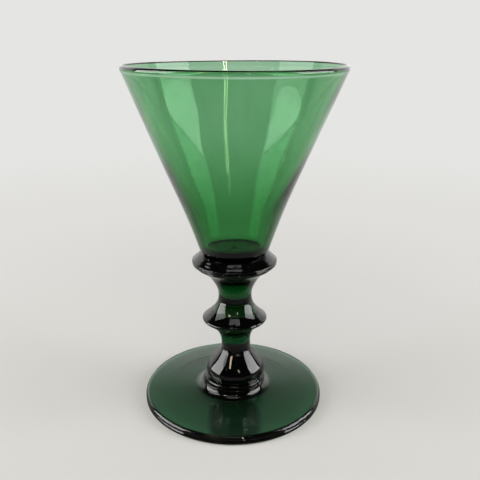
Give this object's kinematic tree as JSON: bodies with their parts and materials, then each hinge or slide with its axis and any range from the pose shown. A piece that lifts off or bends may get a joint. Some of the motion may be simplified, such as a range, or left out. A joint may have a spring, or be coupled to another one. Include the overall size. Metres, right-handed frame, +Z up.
{
  "type": "drinking glass",
  "caption": "Green stemmed drinking glass with a conical bowl, a sharp-edged collar, knopped stem and a round foot.",
  "frame": {"origin": "on the table, at the glass's axis, in the plane of the band that the foot stands on", "axes": "+Z up along the stem, from the foot to the rim; the glass is round, so X and Y are free"},
  "size_m": [0.0768, 0.0768, 0.1254],
  "materials": {
    "thick_glass": "fire-polished bottle-green glass, almost black where it is thick",
    "thin_glass": "fire-polished bottle-green glass, clear mid-green in the thin wall"
  },
  "bodies": {
    "root": {"foot": "thick_glass", "foot_ring": "thick_glass", "base_knop": "thick_glass", "blade_knop": "thick_glass", "collar": "thick_glass", "bowl": "thin_glass"}
  },
  "joints": []
}
